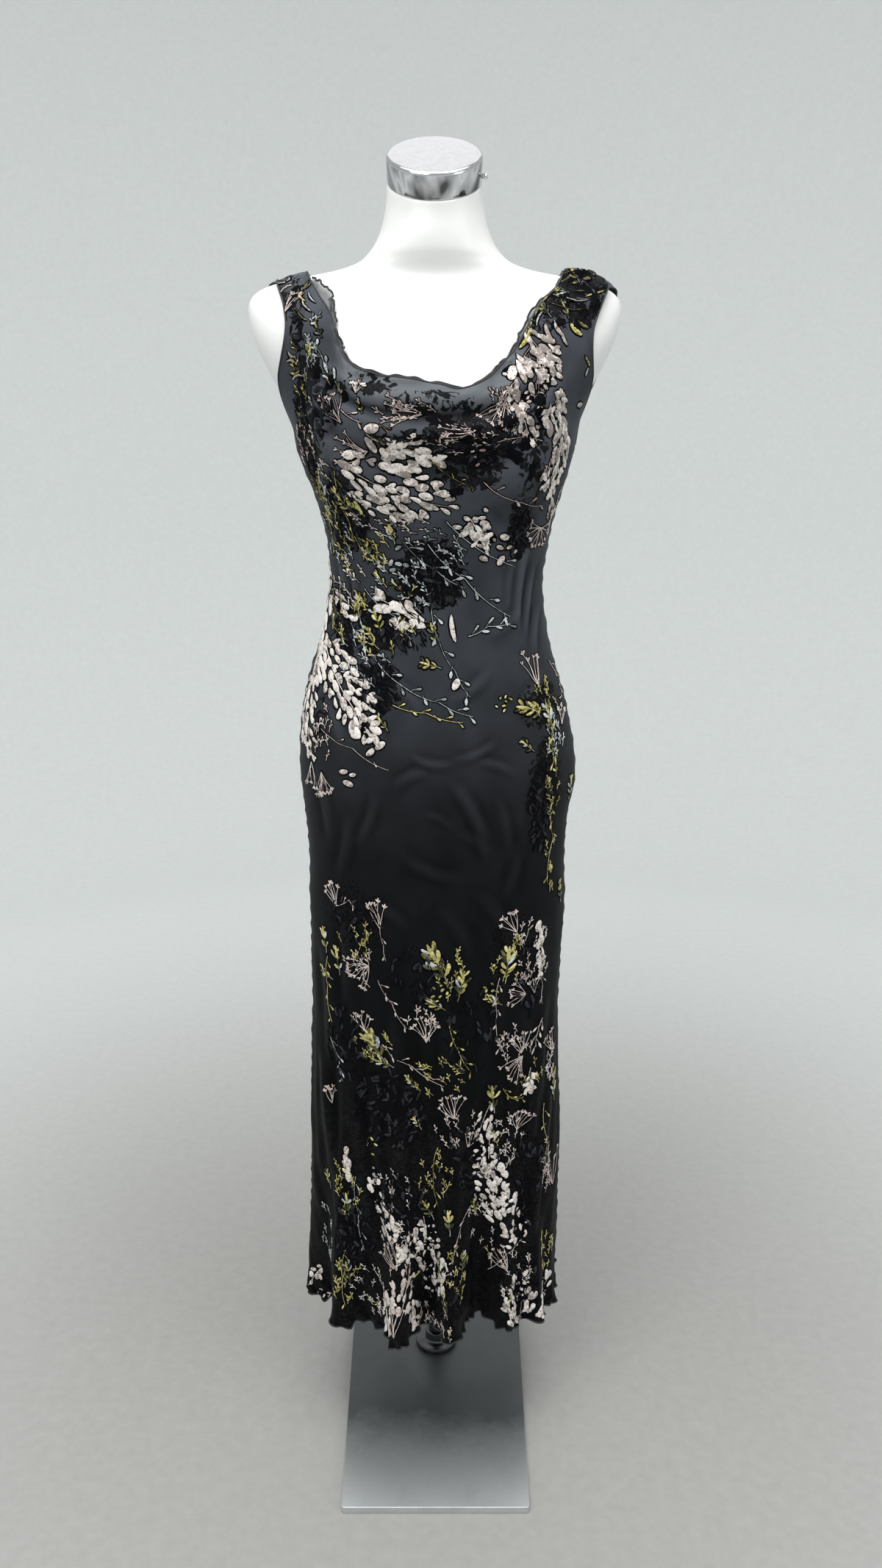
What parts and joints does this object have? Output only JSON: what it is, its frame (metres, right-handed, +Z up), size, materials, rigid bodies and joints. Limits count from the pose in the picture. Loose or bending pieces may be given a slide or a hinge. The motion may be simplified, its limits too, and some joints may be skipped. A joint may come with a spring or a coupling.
{
  "type": "evening gown on a limbless dress form with stand",
  "caption": "Long sleeveless bias-cut evening gown with a draped cowl neck, on a limbless dress form with a capped neck, a pole and a flat base plate.",
  "frame": {"origin": "on the underside of the base plate, below the middle of the form", "axes": "+Z up, the gown's front faces -Y, +X to the right seen from the front"},
  "size_m": [0.414, 0.364, 1.6218],
  "materials": {
    "gown_cloth": "burnout velvet on a smooth crepe ground, black with cream and olive motifs",
    "sheer_cloth": "sheer black chiffon",
    "form_skin": "smooth white satin gloss",
    "chrome": "polished",
    "plate_steel": "satin brushed"
  },
  "bodies": {
    "root": {"gown_front": "gown_cloth", "gown_back": "gown_cloth", "cowl_facing": "sheer_cloth", "form_torso": "form_skin", "neck_cap": "chrome", "cap_screw": "chrome", "pole": "chrome", "pole_foot": "chrome", "pole_socket": "chrome", "base_plate": "plate_steel"}
  },
  "joints": []
}
